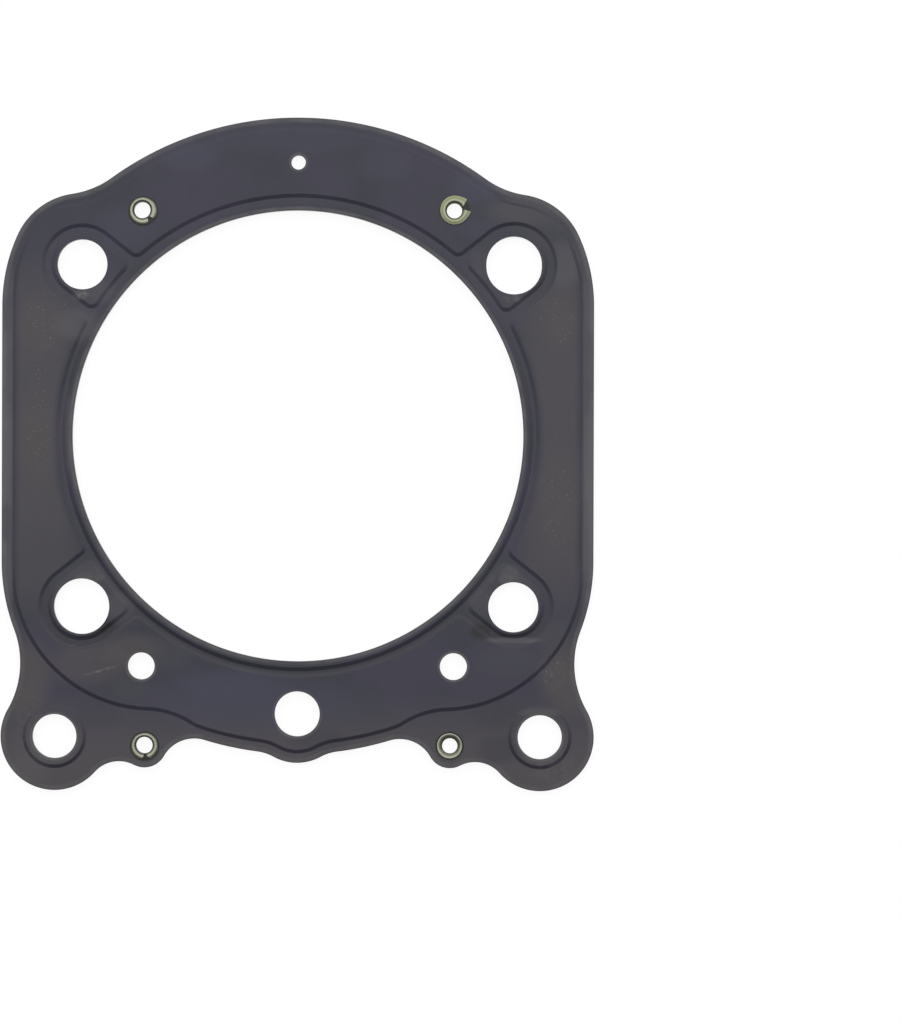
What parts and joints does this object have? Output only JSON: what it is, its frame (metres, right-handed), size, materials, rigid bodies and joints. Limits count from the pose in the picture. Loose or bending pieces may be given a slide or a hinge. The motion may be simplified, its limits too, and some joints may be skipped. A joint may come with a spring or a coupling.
{
  "type": "cylinder head gasket",
  "caption": "Layered steel cylinder head gasket with a large fire opening, embossed sealing beads, ears for screws, and eyelets that hold the layers together.",
  "frame": {"origin": "on the axis of the fire opening, in the plane of the underside", "axes": "+Z along the fire opening towards the cylinder head, +Y towards the rounded edge and away from the two ears, +X across"},
  "size_m": [0.1314, 0.1492, 0.0023],
  "materials": {
    "rubber_coated_steel": "satin dark grey rubber coating on spring steel",
    "spacer_steel": "cold rolled, bare at its punched edges",
    "eyelet_brass": "dull rolled brass"
  },
  "bodies": {
    "root": {"upper_bead_layer": "rubber_coated_steel", "spacer_layer": "spacer_steel", "lower_bead_layer": "rubber_coated_steel", "eyelet_upper_left": "eyelet_brass", "eyelet_upper_right": "eyelet_brass", "eyelet_lower_left": "eyelet_brass", "eyelet_lower_right": "eyelet_brass"}
  },
  "joints": []
}
